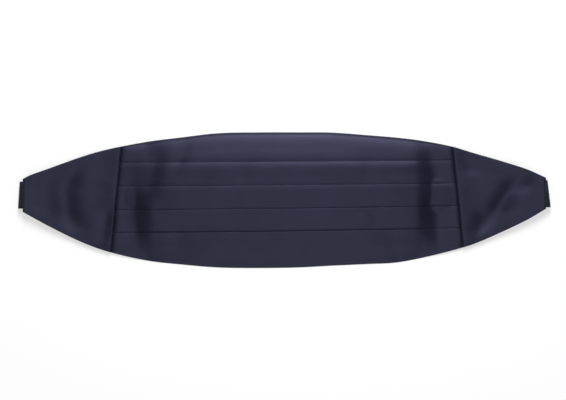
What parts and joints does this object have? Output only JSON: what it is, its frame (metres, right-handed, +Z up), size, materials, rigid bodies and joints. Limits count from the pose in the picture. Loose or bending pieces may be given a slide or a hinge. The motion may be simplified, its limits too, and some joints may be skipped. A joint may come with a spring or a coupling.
{
  "type": "cummerbund",
  "caption": "Pleated navy satin waist sash with tapering side panels and a strap clasped behind, fastened and lying flat.",
  "frame": {"origin": "on the surface that the garment lies on, under the middle of its box", "axes": "+X along the garment, +Y towards the edge that is worn upwards, +Z up out of the satin's face"},
  "size_m": [0.5, 0.1274, 0.0126],
  "materials": {
    "satin": "navy satin weave, soft sheen",
    "webbing": "dark ribbed webbing, matt",
    "clasp_metal": "black enamel, satin gloss"
  },
  "bodies": {
    "root": {"pleated_front": "satin", "wing_left": "satin", "wing_right": "satin", "strap_left": "webbing", "strap_right": "webbing", "clasp_eye": "clasp_metal", "clasp_hook": "clasp_metal"}
  },
  "joints": []
}
